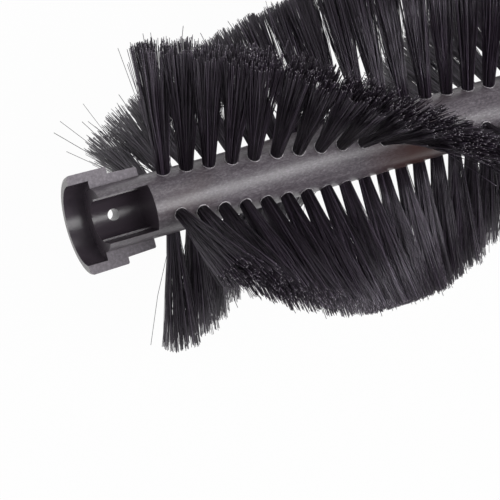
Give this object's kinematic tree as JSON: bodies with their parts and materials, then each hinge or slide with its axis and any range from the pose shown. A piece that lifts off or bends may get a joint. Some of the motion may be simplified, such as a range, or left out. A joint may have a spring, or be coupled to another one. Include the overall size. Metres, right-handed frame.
{
  "type": "sweeper roller brush",
  "caption": "Cylindrical sweeping brush: a round core with helical rows of bristle tufts and, at each end, an open socket in a half-shell coupling that seats on the machine's drive stub.",
  "frame": {"origin": "middle of the roller, on its axis", "axes": "+X along the roller's axis, +Z the way the couplings' open sides face"},
  "size_m": [0.6, 0.2646, 0.2646],
  "materials": {
    "core": "satin",
    "coupling": "matte",
    "bristle": "satin",
    "anchor": "plain"
  },
  "bodies": {
    "root": {"core_tube": "core", "end_coupling_left": "coupling", "end_coupling_right": "coupling", "bristle_row_1": "bristle", "bristle_row_2": "bristle", "bristle_row_3": "bristle", "bristle_row_4": "bristle", "tuft_anchors_row_1": "anchor", "tuft_anchors_row_2": "anchor", "tuft_anchors_row_3": "anchor", "tuft_anchors_row_4": "anchor"}
  },
  "joints": []
}
